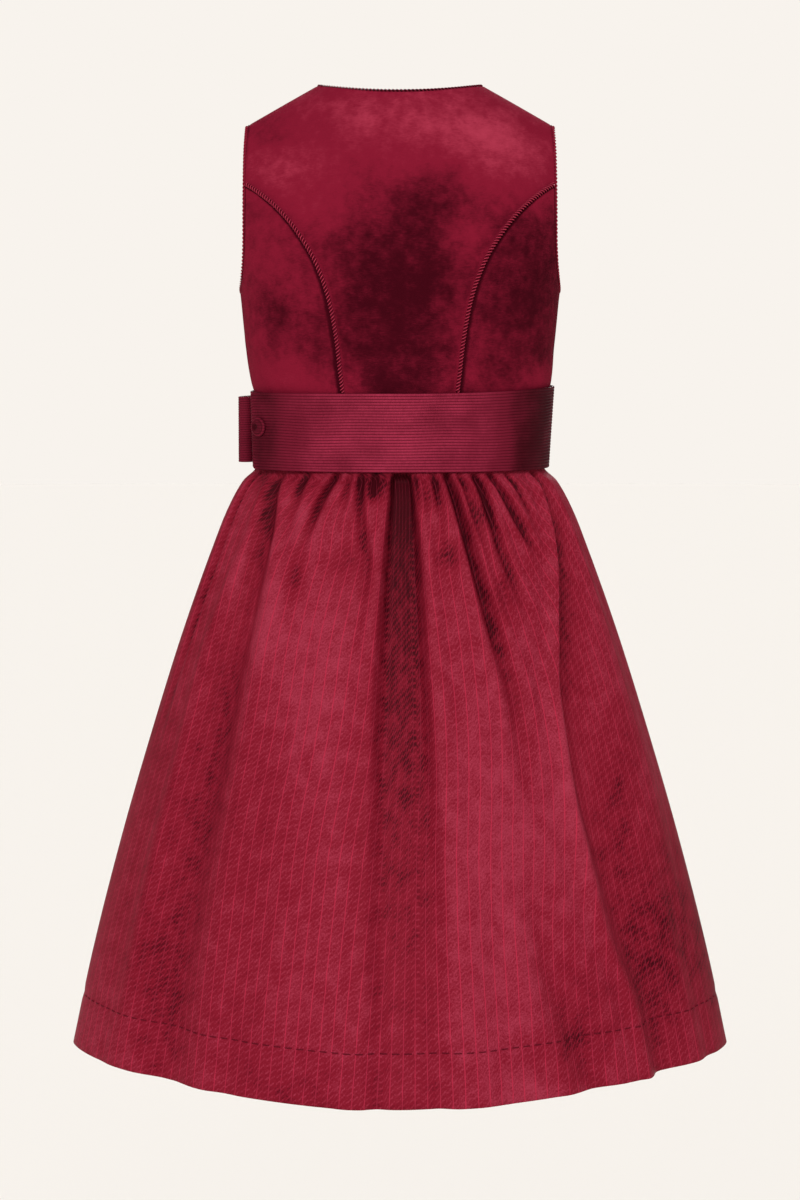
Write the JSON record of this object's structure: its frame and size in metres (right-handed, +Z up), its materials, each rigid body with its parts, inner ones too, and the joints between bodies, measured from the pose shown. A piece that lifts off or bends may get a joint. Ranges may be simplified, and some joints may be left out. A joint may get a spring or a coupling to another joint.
{
  "type": "dirndl",
  "caption": "Girl's sleeveless crimson dirndl, filled out as worn: seamed velvet bodice edged with twisted cord, ribbed belt with a flat side bow, gathered striped skirt.",
  "frame": {"origin": "midway between the middles of the two shoulder seams, where the wearer's shoulders hold the dress up", "axes": "+Z up, +Y out of the front of the dress, +X to the wearer's right"},
  "size_m": [0.5154, 0.3861, 0.7557],
  "materials": {
    "velvet": "crushed pile, soft sheen",
    "jacquard": "woven stripes and herringbone, satin sheen",
    "ribbed_ribbon": "ribbed taffeta, low sheen",
    "twisted_cord": "twisted satin strands"
  },
  "bodies": {
    "root": {"bodice_back_centre": "velvet", "bodice_back_side_left": "velvet", "bodice_back_side_right": "velvet", "bodice_front_left": "velvet", "bodice_front_right": "velvet", "skirt_back": "jacquard", "skirt_front": "jacquard", "belt": "ribbed_ribbon", "belt_stud": "ribbed_ribbon", "bow_loop_rear": "ribbed_ribbon", "bow_loop_front": "ribbed_ribbon", "bow_knot": "ribbed_ribbon", "seam_cord_left": "twisted_cord", "seam_cord_right": "twisted_cord", "neck_cord": "twisted_cord", "armhole_cord_left": "twisted_cord", "armhole_cord_right": "twisted_cord"}
  },
  "joints": []
}
